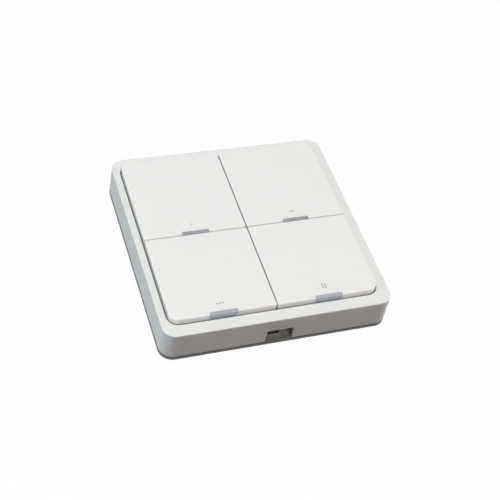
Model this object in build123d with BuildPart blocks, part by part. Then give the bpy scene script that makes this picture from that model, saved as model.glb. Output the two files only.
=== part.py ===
"""Surface-mounted wireless light switch with four push buttons.

The wall face of the base is Z = 0 and its centre is the origin. +Z points out of the wall
and +Y up the wall, so the release notch and the light windows face -Y. Sizes are in mm.
"""
import os
from math import cos, radians, sin, tan

from build123d import *

os.makedirs("parts", exist_ok=True)

# Frame, the white surround
FRAME_SIZE = 80.0
FRAME_TOP = 12.2
FRAME_WALL = 1.8
FRAME_CORNER = 4.8
FRAME_EDGE_ROUND = 0.8
FRAME_HEEL_ROUND = 0.5
RIM_SIDE = 3.35
RIM_LOWER = 4.6
RIM_THICK = 1.8
OPENING_SHIFT_X = -0.65
OPENING_CORNER = 4.0
OPENING_EDGE_ROUND = 0.3

# Release notch in the frame's lower wall and the tab that stands in it
NOTCH_X = 0.1
NOTCH_WIDTH = 9.4
NOTCH_FLARE = 0.2
NOTCH_TOP = 6.9
TAB_LIP_WIDTH = 4.5
TAB_LIP_TOP = 4.7
TAB_LIP_LAP = 0.4
TAB_TONGUE_WIDTH = 2.2
TAB_TONGUE_TOP = 6.5
TAB_SHOULDER_WIDTH = 1.5
TAB_SHOULDER_TOP = 4.8
TAB_SETBACK = 0.6
TAB_THICK = 0.9
TAB_SIDE_GAP = 0.15

# Wall plate
PLATE_EDGE = 1.1
PLATE_FRAME_GAP = 0.1
PLATE_FLOOR = 1.4
UPSTAND_GAP = 0.6
UPSTAND_WALL = 1.2
UPSTAND_TOP = 5.0
SCREW_SPACING = 60.0
SCREW_SLOT_WIDTH = 4.2
SCREW_SLOT_LENGTH = 7.0
SCREW_PAD_BORDER = 2.2
SCREW_PAD_HEIGHT = 0.5
PLATE_RIB_WIDTH = 1.0
PLATE_RIB_HEIGHT = 0.9
PLATE_RIB_SPACING = 21.0
PLATE_RIB_COUNT = 3
PLATE_RIB_HUB_GAP = 1.6

# Hooks of the wall plate and their pockets in the frame's upper wall
HOOK_OFFSET = 20.0
HOOK_WIDTH = 8.0
HOOK_BOTTOM = 4.1
HOOK_THICK = 0.9
HOOK_REACH = 0.8
POCKET_SILL = 1.9
POCKET_SIDE_GAP = 0.4
POCKET_END_GAP = 0.3
POCKET_HEADROOM = 0.5

# Push buttons
BUTTON_PROUD = 2.0
BUTTON_GAP = 0.45
LOWER_GAP = 0.4
ROW_GAP = 0.3
BUTTON_FACE = 1.6
BUTTON_SKIRT = 1.0
BUTTON_DEPTH = 4.0
BUTTON_DRAFT_ANGLE = 1.0
BUTTON_EDGE_ROUND = 0.25
BUTTON_INNER_CORNER = 0.5
LEAST_CORNER = 0.1
ROW_SPLIT_Y = -0.45
DOT_RADIUS = 0.25
DOT_DEPTH = 0.12
DOT_PITCH = 1.0
DOT_FROM_EDGE = 4.2
DOT_SHIFT_X = -0.33

# Button hinges
PIN_RADIUS = 0.9
PIN_OVERHANG = 0.3
PIN_DROP = 3.1
PIN_PAST_CORNER = 0.3
PIN_CLEARANCE = 0.06
POST_WALL = 0.8
POST_THICK = 1.9
POST_SIDE_GAP = 0.8
POST_RISE = 1.2
POST_MOUTH = 1.5

# Button stop arms, which catch below the carrier's deck
ARM_SPREAD = 12.0
ARM_WIDTH = 3.0
ARM_THICK = 1.0
BARB_REACH = 0.6
BARB_HEIGHT = 0.5
BARB_GAP = 0.1
ARM_SLOT_GAP = 0.25

# Light windows
WINDOW_WIDTH = 9.4
WINDOW_DEPTH = 1.05
WINDOW_FACE = 1.7
WINDOW_CORNER = 0.5
WINDOW_LEG_WIDTH = 8.1
WINDOW_LEG_END = 8.2
WINDOW_FIT = 0.05
WINDOW_SLOT_GAP = 0.3

# Carrier, the moulded chassis
CARRIER_FIT = 0.15
CARRIER_WALL = 1.0
DECK_TOP = 9.6
DECK_THICK = 1.2
CARRIER_TOP_GAP = 0.1
CLIP_LENGTH = 8.0
CLIP_OFFSET = 24.0
CLIP_REACH = 0.7
CLIP_HEIGHT = 1.8
CLIP_GAP = 0.1

# Circuit board and its screws
BOARD_TOP = 6.7
BOARD_THICK = 1.2
BOARD_SIDE_INSET = 3.6
BOARD_LOWER_INSET = 2.0
BOARD_CORNER = 1.5
BOSS_RADIUS = 2.3
BOSS_SIDE_INSET = 6.6
BOSS_UPPER_INSET = 8.6
BOSS_LOWER_INSET = 22.2
SCREW_RADIUS = 0.95
SCREW_FIT = 0.05
SCREW_LENGTH = 4.6
SCREW_HEAD_RADIUS = 1.9
SCREW_HEAD_HEIGHT = 1.2
SCREW_RECESS_WIDTH = 0.5
SCREW_RECESS_LENGTH = 2.2
SCREW_RECESS_DEPTH = 0.6
BOARD_HOLE_FIT = 0.15
SEAT_GAP = 0.05

# Press switches, one below each button
SWITCH_FROM_EDGE = 6.65
SWITCH_SIZE = 6.2
SWITCH_HEIGHT = 2.6
SWITCH_LEG_WIDTH = 0.7
SWITCH_LEG_REACH = 1.1
SWITCH_LEG_THICK = 0.2
SWITCH_LEG_PITCH = 4.5
SWITCH_OPENING_GAP = 0.3
PLUNGER_RADIUS = 1.5
PLUNGER_FIT = 0.06
PLUNGER_PROUD = 0.9
PLUNGER_DEPTH = 1.0
PLUNGER_TRAVEL = 0.4
PUSHER_RADIUS = 1.3
PUSHER_GAP = 0.1
PUSHER_RIB = 0.8
PUSHER_RIB_LENGTH = 7.0
PUSHER_RIB_HEIGHT = 1.6

# Lamps
LED_LENGTH = 2.0
LED_WIDTH = 1.25
LED_HEIGHT = 0.7

# Battery and its holder
CELL_RADIUS = 10.0
CELL_HEIGHT = 3.2
CELL_STEP = 0.25
CELL_CAP_INSET = 1.0
CELL_EDGE_ROUND = 0.3
CONTACT_THICK = 0.2
CONTACT_PAD_RADIUS = 4.0
CONTACT_STRAP_WIDTH = 2.4
CONTACT_TAIL = 2.0
CONTACT_SIDE = 2.6
SPRING_WIDTH = 4.0
SPRING_FOOT = 2.5
HOLDER_FIT = 0.2
HOLDER_WALL = 1.2
HOLDER_MOUTH = 11.0
LIP_THICK = 0.25
LIP_REACH = 1.0
LIP_WIDTH = 5.0
LIP_GAP = 0.1

# Radio parts on the underside of the board
RADIO_SIDE_INSET = 22.6
RADIO_UPPER_INSET = 9.6
RADIO_LENGTH = 16.0
RADIO_WIDTH = 13.0
RADIO_BOARD = 0.8
SHIELD_HEIGHT = 1.8
SHIELD_BORDER = 1.2
SHIELD_ROUND = 0.3
ANTENNA_SIDE_INSET = 22.6
ANTENNA_UPPER_INSET = 4.6
ANTENNA_LENGTH = 7.0
ANTENNA_WIDTH = 2.0
ANTENNA_HEIGHT = 0.8
CHIP_LENGTH = 2.0
CHIP_WIDTH = 1.25
CHIP_HEIGHT = 0.8
CHIP_ROWS = 4
CHIP_PITCH = 4.0
CHIP_SIDE_INSET = 10.6
CHIP_LOWER_INSET = 11.2
CONTROLLER_SIDE_INSET = 12.6
CONTROLLER_LOWER_INSET = 16.2
CONTROLLER_SIZE = 7.0
CONTROLLER_HEIGHT = 1.0

# Levels and outlines that follow from these
HALF = FRAME_SIZE / 2
FRAME_BOTTOM = PLATE_EDGE + PLATE_FRAME_GAP
RIM_UNDER = FRAME_TOP - RIM_THICK
CAVITY_HALF = HALF - FRAME_WALL
CAVITY_CORNER = FRAME_CORNER - FRAME_WALL
OPENING_SIDE = HALF - RIM_SIDE
OPENING_LOWER = -(HALF - RIM_LOWER)
OPENING_UPPER = HALF - RIM_SIDE
BUTTON_TOP = FRAME_TOP + BUTTON_PROUD
BUTTON_UNDER = BUTTON_TOP - BUTTON_FACE
BUTTON_BOTTOM = BUTTON_TOP - BUTTON_DEPTH
BUTTON_OUTER_CORNER = OPENING_CORNER - BUTTON_GAP
FRONT_SETBACK = BUTTON_PROUD * tan(radians(BUTTON_DRAFT_ANGLE))
WINDOW_BACK = FRONT_SETBACK + WINDOW_DEPTH
PIN_Z = BUTTON_TOP - PIN_DROP
PIN_LENGTH = POST_SIDE_GAP + POST_THICK + PIN_OVERHANG
PIN_FROM_EDGE = BUTTON_OUTER_CORNER + PIN_PAST_CORNER
LOWER_ROW_HEIGHT = ROW_SPLIT_Y - ROW_GAP / 2 - OPENING_LOWER - LOWER_GAP
LEVER = LOWER_ROW_HEIGHT - PIN_FROM_EDGE - SWITCH_FROM_EDGE
DECK_BOTTOM = DECK_TOP - DECK_THICK
CARRIER_HALF = CAVITY_HALF - CARRIER_FIT
CARRIER_CORNER = CAVITY_CORNER - CARRIER_FIT
CARRIER_TOP = RIM_UNDER - CARRIER_TOP_GAP
BOARD_BOTTOM = BOARD_TOP - BOARD_THICK
BOARD_SIDE = CAVITY_HALF - BOARD_SIDE_INSET
BOARD_LOWER = -(CAVITY_HALF - BOARD_LOWER_INSET)
BOARD_UPPER = CAVITY_HALF - BOARD_SIDE_INSET
UNDER_BOARD = BOARD_BOTTOM - SEAT_GAP
SWITCH_TOP = BOARD_TOP + SEAT_GAP + SWITCH_HEIGHT
PLUNGER_TOP = SWITCH_TOP + PLUNGER_PROUD
UPSTAND_HALF = CAVITY_HALF - UPSTAND_GAP
UPSTAND_CORNER = CAVITY_CORNER - UPSTAND_GAP
CELL_TOP = UNDER_BOARD - CONTACT_THICK - SEAT_GAP
CELL_BOTTOM = CELL_TOP - CELL_HEIGHT
HOLDER_INNER = CELL_RADIUS + HOLDER_FIT
HOLDER_OUTER = HOLDER_INNER + HOLDER_WALL
HOLDER_BOTTOM = CELL_BOTTOM - LIP_GAP - LIP_THICK
BOSS_SPOTS = [
    (side * (BOARD_SIDE - BOSS_SIDE_INSET), y)
    for y in (BOARD_UPPER - BOSS_UPPER_INSET, BOARD_LOWER + BOSS_LOWER_INSET)
    for side in (-1, 1)
]
RADIO_SPOT = (-(BOARD_SIDE - RADIO_SIDE_INSET), BOARD_UPPER - RADIO_UPPER_INSET)
ANTENNA_SPOT = (BOARD_SIDE - ANTENNA_SIDE_INSET, BOARD_UPPER - ANTENNA_UPPER_INSET)
CHIP_SPOT = (BOARD_SIDE - CHIP_SIDE_INSET, BOARD_LOWER + CHIP_LOWER_INSET)
CONTROLLER_SPOT = (
    -(BOARD_SIDE - CONTROLLER_SIDE_INSET), BOARD_LOWER + CONTROLLER_LOWER_INSET
)


class Cell:
    """One button's place in the frame's opening and what lines up with it."""

    def __init__(self, number, side, upper):
        self.number = number
        outer = OPENING_SHIFT_X + side * (OPENING_SIDE - BUTTON_GAP)
        inner = OPENING_SHIFT_X + side * BUTTON_GAP / 2
        self.left, self.right = min(outer, inner), max(outer, inner)
        if upper:
            self.low, self.high = ROW_SPLIT_Y + ROW_GAP / 2, OPENING_UPPER - BUTTON_GAP
        else:
            self.low, self.high = OPENING_LOWER + LOWER_GAP, ROW_SPLIT_Y - ROW_GAP / 2
        self.x = (self.left + self.right) / 2
        self.width = self.right - self.left
        self.height = self.high - self.low
        self.outer_corner = (outer, self.high if upper else self.low)
        self.pin_y = self.high - PIN_FROM_EDGE
        self.switch_y = self.pin_y - LEVER
        self.window_y = self.low + WINDOW_BACK / 2
        self.arm_low = self.low + BUTTON_SKIRT
        self.arm_xs = (self.x - ARM_SPREAD, self.x + ARM_SPREAD)

    def dots(self):
        """Centres of the marks: one, two or three in a row, and four in a square."""
        x, y = self.x + DOT_SHIFT_X, self.low + DOT_FROM_EDGE
        in_row = 2 if self.number == 4 else self.number
        rows = 2 if self.number == 4 else 1
        return [
            (x + (column - (in_row - 1) / 2) * DOT_PITCH, y + row * DOT_PITCH)
            for row in range(rows)
            for column in range(in_row)
        ]


CELLS = [Cell(1, -1, True), Cell(2, 1, True), Cell(3, -1, False), Cell(4, 1, False)]


def cell_outline(cell, inset, level, setback=0.0):
    """The button's outline, inset evenly, with its one large corner at the frame's corner.

    The front edge, towards -Y, can stand back further by the setback.
    """
    with BuildSketch(Plane.XY.offset(level)) as outline:
        with Locations((cell.x, (cell.low + setback + cell.high) / 2)):
            Rectangle(cell.width - 2 * inset, cell.height - setback - 2 * inset)
        corners = outline.vertices().sort_by_distance((*cell.outer_corner, level))
        fillet(corners[1:], max(BUTTON_INNER_CORNER - inset, LEAST_CORNER))
        nearest = outline.vertices().sort_by_distance((*cell.outer_corner, level))[0]
        fillet(nearest, max(BUTTON_OUTER_CORNER - inset, LEAST_CORNER))
    return outline.sketch


def box_between(low, high, mode=Mode.ADD):
    """A block given by its two extreme corners."""
    size = [b - a for a, b in zip(low, high)]
    centre = tuple((a + b) / 2 for a, b in zip(low, high))
    with Locations(centre):
        Box(*size, mode=mode)


def wall_plane(turn):
    """Plane with X outwards through one wall, Y up and its normal along the wall."""
    angle = radians(turn)
    return Plane(
        origin=(0, 0, 0),
        x_dir=(cos(angle), sin(angle), 0),
        z_dir=(sin(angle), -cos(angle), 0),
    )


def save(builder, name):
    """Label one finished piece and write it."""
    builder.part.label = name
    export_step(builder.part, f"parts/{name}.step")


# Frame: moulded shell with a rim, upright walls, clips for the carrier and hook pockets
with BuildPart() as frame:
    with BuildSketch(Plane.XY.offset(FRAME_BOTTOM)):
        RectangleRounded(FRAME_SIZE, FRAME_SIZE, FRAME_CORNER)
    extrude(amount=FRAME_TOP - FRAME_BOTTOM)
    fillet(frame.faces().sort_by(Axis.Z)[-1].edges(), FRAME_EDGE_ROUND)
    heel = frame.faces().sort_by(Axis.Z)[0].edges().sort_by(Axis.Y)[-1]
    fillet(heel, FRAME_HEEL_ROUND)
    with BuildSketch(Plane.XY.offset(FRAME_BOTTOM)):
        RectangleRounded(2 * CAVITY_HALF, 2 * CAVITY_HALF, CAVITY_CORNER)
    extrude(amount=RIM_UNDER - FRAME_BOTTOM, mode=Mode.SUBTRACT)
    with BuildSketch(Plane.XY.offset(RIM_UNDER)):
        with Locations((OPENING_SHIFT_X, (OPENING_LOWER + OPENING_UPPER) / 2)):
            RectangleRounded(2 * OPENING_SIDE, OPENING_UPPER - OPENING_LOWER, OPENING_CORNER)
    extrude(amount=RIM_THICK, mode=Mode.SUBTRACT)
    rim_face = frame.faces().filter_by(Axis.Z).sort_by(Axis.Z)[-1]
    fillet(rim_face.inner_wires()[0].edges(), OPENING_EDGE_ROUND)
    with BuildSketch(Plane.XZ.offset(HALF)):
        with BuildLine():
            Polyline(
                (NOTCH_X - NOTCH_WIDTH / 2 - NOTCH_FLARE, FRAME_BOTTOM),
                (NOTCH_X - NOTCH_WIDTH / 2, NOTCH_TOP),
                (NOTCH_X + NOTCH_WIDTH / 2, NOTCH_TOP),
                (NOTCH_X + NOTCH_WIDTH / 2 + NOTCH_FLARE, FRAME_BOTTOM),
                close=True,
            )
        make_face()
    extrude(amount=-FRAME_WALL, mode=Mode.SUBTRACT)
    clip_top = DECK_BOTTOM - CLIP_GAP
    for turn in range(0, 360, 90):
        for offset in (-CLIP_OFFSET, CLIP_OFFSET):
            with BuildSketch(wall_plane(turn).offset(offset - CLIP_LENGTH / 2)):
                with BuildLine():
                    Polyline(
                        (CAVITY_HALF, clip_top),
                        (CAVITY_HALF - CLIP_REACH, clip_top),
                        (CAVITY_HALF, clip_top - CLIP_HEIGHT),
                        close=True,
                    )
                make_face()
            extrude(amount=CLIP_LENGTH)
    for x in (-HOOK_OFFSET, HOOK_OFFSET):
        box_between(
            (x - HOOK_WIDTH / 2 - POCKET_SIDE_GAP, CAVITY_HALF, FRAME_BOTTOM + POCKET_SILL),
            (
                x + HOOK_WIDTH / 2 + POCKET_SIDE_GAP,
                CAVITY_HALF + HOOK_REACH + POCKET_END_GAP,
                HOOK_BOTTOM + HOOK_THICK + POCKET_HEADROOM,
            ),
            mode=Mode.SUBTRACT,
        )
save(frame, "frame")

# Wall plate: grey base with an upstand inside the frame, hooks, screw slots and the release
# tab, a lip level with the frame's face and a tongue behind it
with BuildPart() as wall_plate:
    with BuildSketch():
        RectangleRounded(FRAME_SIZE, FRAME_SIZE, FRAME_CORNER)
    extrude(amount=PLATE_EDGE)
    with BuildSketch(Plane.XY.offset(PLATE_EDGE)):
        RectangleRounded(2 * UPSTAND_HALF, 2 * UPSTAND_HALF, UPSTAND_CORNER)
    extrude(amount=UPSTAND_TOP - PLATE_EDGE)
    with BuildSketch(Plane.XY.offset(PLATE_FLOOR)):
        inner = UPSTAND_HALF - UPSTAND_WALL
        RectangleRounded(2 * inner, 2 * inner, UPSTAND_CORNER - UPSTAND_WALL)
    extrude(amount=UPSTAND_TOP - PLATE_FLOOR, mode=Mode.SUBTRACT)
    with BuildSketch(Plane.XY.offset(PLATE_FLOOR)):
        with GridLocations(PLATE_RIB_SPACING, 0, PLATE_RIB_COUNT, 1):
            Rectangle(PLATE_RIB_WIDTH, 2 * inner)
        with GridLocations(0, PLATE_RIB_SPACING, 1, PLATE_RIB_COUNT):
            Rectangle(2 * inner, PLATE_RIB_WIDTH)
        Circle(HOLDER_OUTER + PLATE_RIB_HUB_GAP, mode=Mode.SUBTRACT)
    extrude(amount=PLATE_RIB_HEIGHT)
    with BuildSketch(Plane.XY.offset(PLATE_FLOOR)):
        with GridLocations(SCREW_SPACING, 0, 2, 1):
            SlotOverall(
                SCREW_SLOT_LENGTH + 2 * SCREW_PAD_BORDER, SCREW_SLOT_WIDTH + 2 * SCREW_PAD_BORDER
            )
    extrude(amount=PLATE_RIB_HEIGHT, mode=Mode.SUBTRACT)
    with BuildSketch(Plane.XY.offset(PLATE_FLOOR)):
        with GridLocations(SCREW_SPACING, 0, 2, 1):
            SlotOverall(
                SCREW_SLOT_LENGTH + 2 * SCREW_PAD_BORDER, SCREW_SLOT_WIDTH + 2 * SCREW_PAD_BORDER
            )
    extrude(amount=SCREW_PAD_HEIGHT)
    with BuildSketch():
        with GridLocations(SCREW_SPACING, 0, 2, 1):
            SlotOverall(SCREW_SLOT_LENGTH, SCREW_SLOT_WIDTH)
    extrude(amount=PLATE_FLOOR + SCREW_PAD_HEIGHT, mode=Mode.SUBTRACT)
    for x in (-HOOK_OFFSET, HOOK_OFFSET):
        box_between(
            (x - HOOK_WIDTH / 2, UPSTAND_HALF - UPSTAND_WALL / 2, HOOK_BOTTOM),
            (x + HOOK_WIDTH / 2, CAVITY_HALF + HOOK_REACH, HOOK_BOTTOM + HOOK_THICK),
        )
    lip_left = NOTCH_X - NOTCH_WIDTH / 2 + TAB_SIDE_GAP
    lip_slope = NOTCH_FLARE * (TAB_LIP_TOP - PLATE_EDGE) / (NOTCH_TOP - FRAME_BOTTOM)
    with BuildSketch(Plane.XZ.offset(HALF)):
        with BuildLine():
            Polyline(
                (lip_left - lip_slope, PLATE_EDGE),
                (lip_left, TAB_LIP_TOP),
                (lip_left + TAB_LIP_WIDTH, TAB_LIP_TOP),
                (lip_left + TAB_LIP_WIDTH, PLATE_EDGE),
                close=True,
            )
        make_face()
    extrude(amount=-TAB_SETBACK)
    tongue_left = lip_left + TAB_LIP_WIDTH - TAB_LIP_LAP
    tongue_right = tongue_left + TAB_TONGUE_WIDTH
    with BuildSketch(Plane.XZ.offset(HALF - TAB_SETBACK)):
        with BuildLine():
            Polyline(
                (tongue_left, PLATE_EDGE),
                (tongue_left, TAB_TONGUE_TOP),
                (tongue_right, TAB_TONGUE_TOP),
                (tongue_right, TAB_SHOULDER_TOP),
                (tongue_right + TAB_SHOULDER_WIDTH, TAB_SHOULDER_TOP),
                (tongue_right + TAB_SHOULDER_WIDTH, PLATE_EDGE),
                close=True,
            )
        make_face()
    extrude(amount=-TAB_THICK)
save(wall_plate, "wall_plate")

# Carrier: deck with a wall round it, bearing posts, switch, light and arm openings, bosses
with BuildPart() as carrier:
    with BuildSketch(Plane.XY.offset(DECK_BOTTOM)):
        RectangleRounded(2 * CARRIER_HALF, 2 * CARRIER_HALF, CARRIER_CORNER)
    extrude(amount=CARRIER_TOP - DECK_BOTTOM)
    with BuildSketch(Plane.XY.offset(DECK_TOP)):
        inner = CARRIER_HALF - CARRIER_WALL
        RectangleRounded(2 * inner, 2 * inner, CARRIER_CORNER - CARRIER_WALL)
    extrude(amount=CARRIER_TOP - DECK_TOP, mode=Mode.SUBTRACT)
    with BuildSketch(Plane.XY.offset(DECK_BOTTOM)):
        for cell in CELLS:
            with Locations((cell.x, cell.switch_y)):
                Rectangle(*[SWITCH_SIZE + 2 * SWITCH_OPENING_GAP] * 2)
            with Locations((cell.x, cell.window_y)):
                Rectangle(WINDOW_LEG_WIDTH + 2 * WINDOW_SLOT_GAP, WINDOW_BACK + 2 * WINDOW_SLOT_GAP)
            with Locations(*[(x, cell.arm_low + ARM_THICK / 2) for x in cell.arm_xs]):
                Rectangle(ARM_WIDTH + 2 * ARM_SLOT_GAP, ARM_THICK + 2 * ARM_SLOT_GAP)
    extrude(amount=DECK_THICK, mode=Mode.SUBTRACT)
    for cell in CELLS:
        post_starts = (
            cell.left + BUTTON_SKIRT + POST_SIDE_GAP,
            cell.right - BUTTON_SKIRT - POST_SIDE_GAP - POST_THICK,
        )
        bore = PIN_RADIUS + PIN_CLEARANCE
        for start in post_starts:
            with BuildSketch(Plane.YZ.offset(start)):
                with Locations((cell.pin_y, DECK_TOP)):
                    Rectangle(
                        2 * (bore + POST_WALL), PIN_Z + POST_RISE - DECK_TOP,
                        align=(Align.CENTER, Align.MIN),
                    )
                with Locations((cell.pin_y, PIN_Z)):
                    Circle(bore, mode=Mode.SUBTRACT)
                    Rectangle(
                        POST_MOUTH, 2 * POST_RISE,
                        align=(Align.CENTER, Align.MIN), mode=Mode.SUBTRACT,
                    )
            extrude(amount=POST_THICK)
    with BuildSketch(Plane.XY.offset(BOARD_TOP + SEAT_GAP)):
        with Locations(*BOSS_SPOTS):
            Circle(BOSS_RADIUS)
    extrude(amount=DECK_BOTTOM - BOARD_TOP - SEAT_GAP)
    with BuildSketch(Plane.XY.offset(BOARD_TOP)):
        with Locations(*BOSS_SPOTS):
            Circle(SCREW_RADIUS + SCREW_FIT)
    extrude(amount=SCREW_LENGTH - BOARD_THICK + SCREW_FIT, mode=Mode.SUBTRACT)
save(carrier, "carrier")

# Buttons: a face with a skirt, hinge pins, stop arms, a pusher and a seat for the window
for cell in CELLS:
    with BuildPart() as button:
        extrude(cell_outline(cell, 0, BUTTON_BOTTOM), amount=FRAME_TOP - BUTTON_BOTTOM)
        rim_outline = cell_outline(cell, 0, FRAME_TOP)
        loft([rim_outline, cell_outline(cell, 0, BUTTON_TOP, FRONT_SETBACK)], ruled=True)
        fillet(button.faces().sort_by(Axis.Z)[-1].edges(), BUTTON_EDGE_ROUND)
        hollow = cell_outline(cell, BUTTON_SKIRT, BUTTON_BOTTOM)
        extrude(hollow, amount=BUTTON_DEPTH - BUTTON_FACE, mode=Mode.SUBTRACT)
        with BuildSketch(Plane.YZ.offset(cell.left + BUTTON_SKIRT / 2)):
            with Locations((cell.pin_y, PIN_Z)):
                Circle(PIN_RADIUS)
        extrude(amount=PIN_LENGTH + BUTTON_SKIRT / 2)
        with BuildSketch(Plane.YZ.offset(cell.right - BUTTON_SKIRT / 2)):
            with Locations((cell.pin_y, PIN_Z)):
                Circle(PIN_RADIUS)
        extrude(amount=-PIN_LENGTH - BUTTON_SKIRT / 2)
        barb_top = DECK_BOTTOM - BARB_GAP
        for x in cell.arm_xs:
            with BuildSketch(Plane.YZ.offset(x - ARM_WIDTH / 2)):
                with BuildLine():
                    Polyline(
                        (cell.arm_low, BUTTON_UNDER),
                        (cell.arm_low, barb_top - BARB_HEIGHT),
                        (cell.arm_low + ARM_THICK, barb_top - BARB_HEIGHT),
                        (cell.arm_low + ARM_THICK + BARB_REACH, barb_top),
                        (cell.arm_low + ARM_THICK, barb_top),
                        (cell.arm_low + ARM_THICK, BUTTON_UNDER),
                        close=True,
                    )
                make_face()
            extrude(amount=ARM_WIDTH)
        with BuildSketch(Plane.XY.offset(BUTTON_UNDER)):
            with Locations((cell.x, cell.switch_y)):
                Circle(PUSHER_RADIUS)
        extrude(amount=PLUNGER_TOP + PUSHER_GAP - BUTTON_UNDER)
        with BuildSketch(Plane.XY.offset(BUTTON_UNDER)):
            with Locations((cell.x, cell.switch_y)):
                Rectangle(PUSHER_RIB, PUSHER_RIB_LENGTH)
                Rectangle(PUSHER_RIB_LENGTH, PUSHER_RIB)
        extrude(amount=-PUSHER_RIB_HEIGHT)
        seat = WINDOW_WIDTH / 2 + WINDOW_FIT
        leg_seat = WINDOW_LEG_WIDTH / 2 + WINDOW_FIT
        sill = BUTTON_TOP - WINDOW_FACE - WINDOW_FIT
        depth = WINDOW_BACK + WINDOW_FIT
        box_between(
            (cell.x - seat, cell.low, sill), (cell.x + seat, cell.low + depth, BUTTON_TOP),
            mode=Mode.SUBTRACT,
        )
        box_between(
            (cell.x - leg_seat, cell.low, BUTTON_BOTTOM),
            (cell.x + leg_seat, cell.low + depth, sill),
            mode=Mode.SUBTRACT,
        )
        with BuildSketch(Plane.XY.offset(BUTTON_TOP)):
            with Locations(*cell.dots()):
                Circle(DOT_RADIUS)
        extrude(amount=-DOT_DEPTH, mode=Mode.SUBTRACT)
    save(button, f"button_{cell.number}")

# Light windows: a face flush with the button's front and top, and a leg down to the lamp
for cell in CELLS:
    with BuildPart() as light_window:
        face_bottom = BUTTON_TOP - WINDOW_FACE
        face_front = (face_bottom - FRAME_TOP) * FRONT_SETBACK / BUTTON_PROUD
        with BuildSketch(Plane.YZ.offset(cell.x - WINDOW_WIDTH / 2)):
            with BuildLine():
                Polyline(
                    (cell.low + face_front, face_bottom),
                    (cell.low + FRONT_SETBACK, BUTTON_TOP),
                    (cell.low + WINDOW_BACK, BUTTON_TOP),
                    (cell.low + WINDOW_BACK, face_bottom),
                    close=True,
                )
            make_face()
        extrude(amount=WINDOW_WIDTH)
        front_top = light_window.edges().filter_by(Axis.X).group_by(Axis.Z)[-1].sort_by(Axis.Y)[0]
        fillet(front_top, BUTTON_EDGE_ROUND)
        lower_corners = light_window.edges().filter_by(Axis.Y).group_by(Axis.Z)[0]
        fillet(lower_corners, WINDOW_CORNER)
        with BuildSketch(Plane.YZ.offset(cell.x - WINDOW_LEG_WIDTH / 2)):
            with BuildLine():
                Polyline(
                    (cell.low, WINDOW_LEG_END),
                    (cell.low, FRAME_TOP),
                    (cell.low + face_front, face_bottom),
                    (cell.low + WINDOW_BACK, face_bottom),
                    (cell.low + WINDOW_BACK, WINDOW_LEG_END),
                    close=True,
                )
            make_face()
        extrude(amount=WINDOW_LEG_WIDTH)
    save(light_window, f"light_window_{cell.number}")

# Circuit board
with BuildPart() as circuit_board:
    with BuildSketch(Plane.XY.offset(BOARD_BOTTOM)):
        with Locations((0, (BOARD_LOWER + BOARD_UPPER) / 2)):
            RectangleRounded(2 * BOARD_SIDE, BOARD_UPPER - BOARD_LOWER, BOARD_CORNER)
        with Locations(*BOSS_SPOTS):
            Circle(SCREW_RADIUS + BOARD_HOLE_FIT, mode=Mode.SUBTRACT)
    extrude(amount=BOARD_THICK)
save(circuit_board, "circuit_board")

# Board screws: four pan heads with a cross recess, driven from behind into the bosses
with BuildPart() as board_screws:
    with BuildSketch(Plane.XY.offset(UNDER_BOARD - SCREW_HEAD_HEIGHT)):
        with Locations(*BOSS_SPOTS):
            Circle(SCREW_HEAD_RADIUS)
    extrude(amount=SCREW_HEAD_HEIGHT)
    with BuildSketch(Plane.XY.offset(UNDER_BOARD)):
        with Locations(*BOSS_SPOTS):
            Circle(SCREW_RADIUS)
    extrude(amount=SCREW_LENGTH)
    with BuildSketch(Plane.XY.offset(UNDER_BOARD - SCREW_HEAD_HEIGHT)):
        with Locations(*BOSS_SPOTS):
            Rectangle(SCREW_RECESS_LENGTH, SCREW_RECESS_WIDTH)
            Rectangle(SCREW_RECESS_WIDTH, SCREW_RECESS_LENGTH)
    extrude(amount=SCREW_RECESS_DEPTH, mode=Mode.SUBTRACT)
save(board_screws, "board_screws")

# Press switches with their plungers, and a lamp under each light window
for cell in CELLS:
    with BuildPart() as tact_switch:
        with BuildSketch(Plane.XY.offset(BOARD_TOP + SEAT_GAP)):
            with Locations((cell.x, cell.switch_y)):
                Rectangle(SWITCH_SIZE, SWITCH_SIZE)
        extrude(amount=SWITCH_HEIGHT)
        with BuildSketch(Plane.XY.offset(BOARD_TOP + SEAT_GAP)):
            with Locations((cell.x, cell.switch_y)):
                with GridLocations(0, SWITCH_LEG_PITCH, 1, 2):
                    Rectangle(SWITCH_SIZE + 2 * SWITCH_LEG_REACH, SWITCH_LEG_WIDTH)
        extrude(amount=SWITCH_LEG_THICK)
        with BuildSketch(Plane.XY.offset(SWITCH_TOP)):
            with Locations((cell.x, cell.switch_y)):
                Circle(PLUNGER_RADIUS + PLUNGER_FIT)
        extrude(amount=-PLUNGER_DEPTH - PLUNGER_TRAVEL, mode=Mode.SUBTRACT)
    save(tact_switch, f"tact_switch_{cell.number}")

    with BuildPart() as plunger:
        with BuildSketch(Plane.XY.offset(SWITCH_TOP - PLUNGER_DEPTH)):
            with Locations((cell.x, cell.switch_y)):
                Circle(PLUNGER_RADIUS)
        extrude(amount=PLUNGER_DEPTH + PLUNGER_PROUD)
    save(plunger, f"plunger_{cell.number}")

    with BuildPart() as led:
        with BuildSketch(Plane.XY.offset(BOARD_TOP + SEAT_GAP)):
            with Locations((cell.x, cell.window_y)):
                Rectangle(LED_LENGTH, LED_WIDTH)
        extrude(amount=LED_HEIGHT)
    save(led, f"led_{cell.number}")

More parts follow.
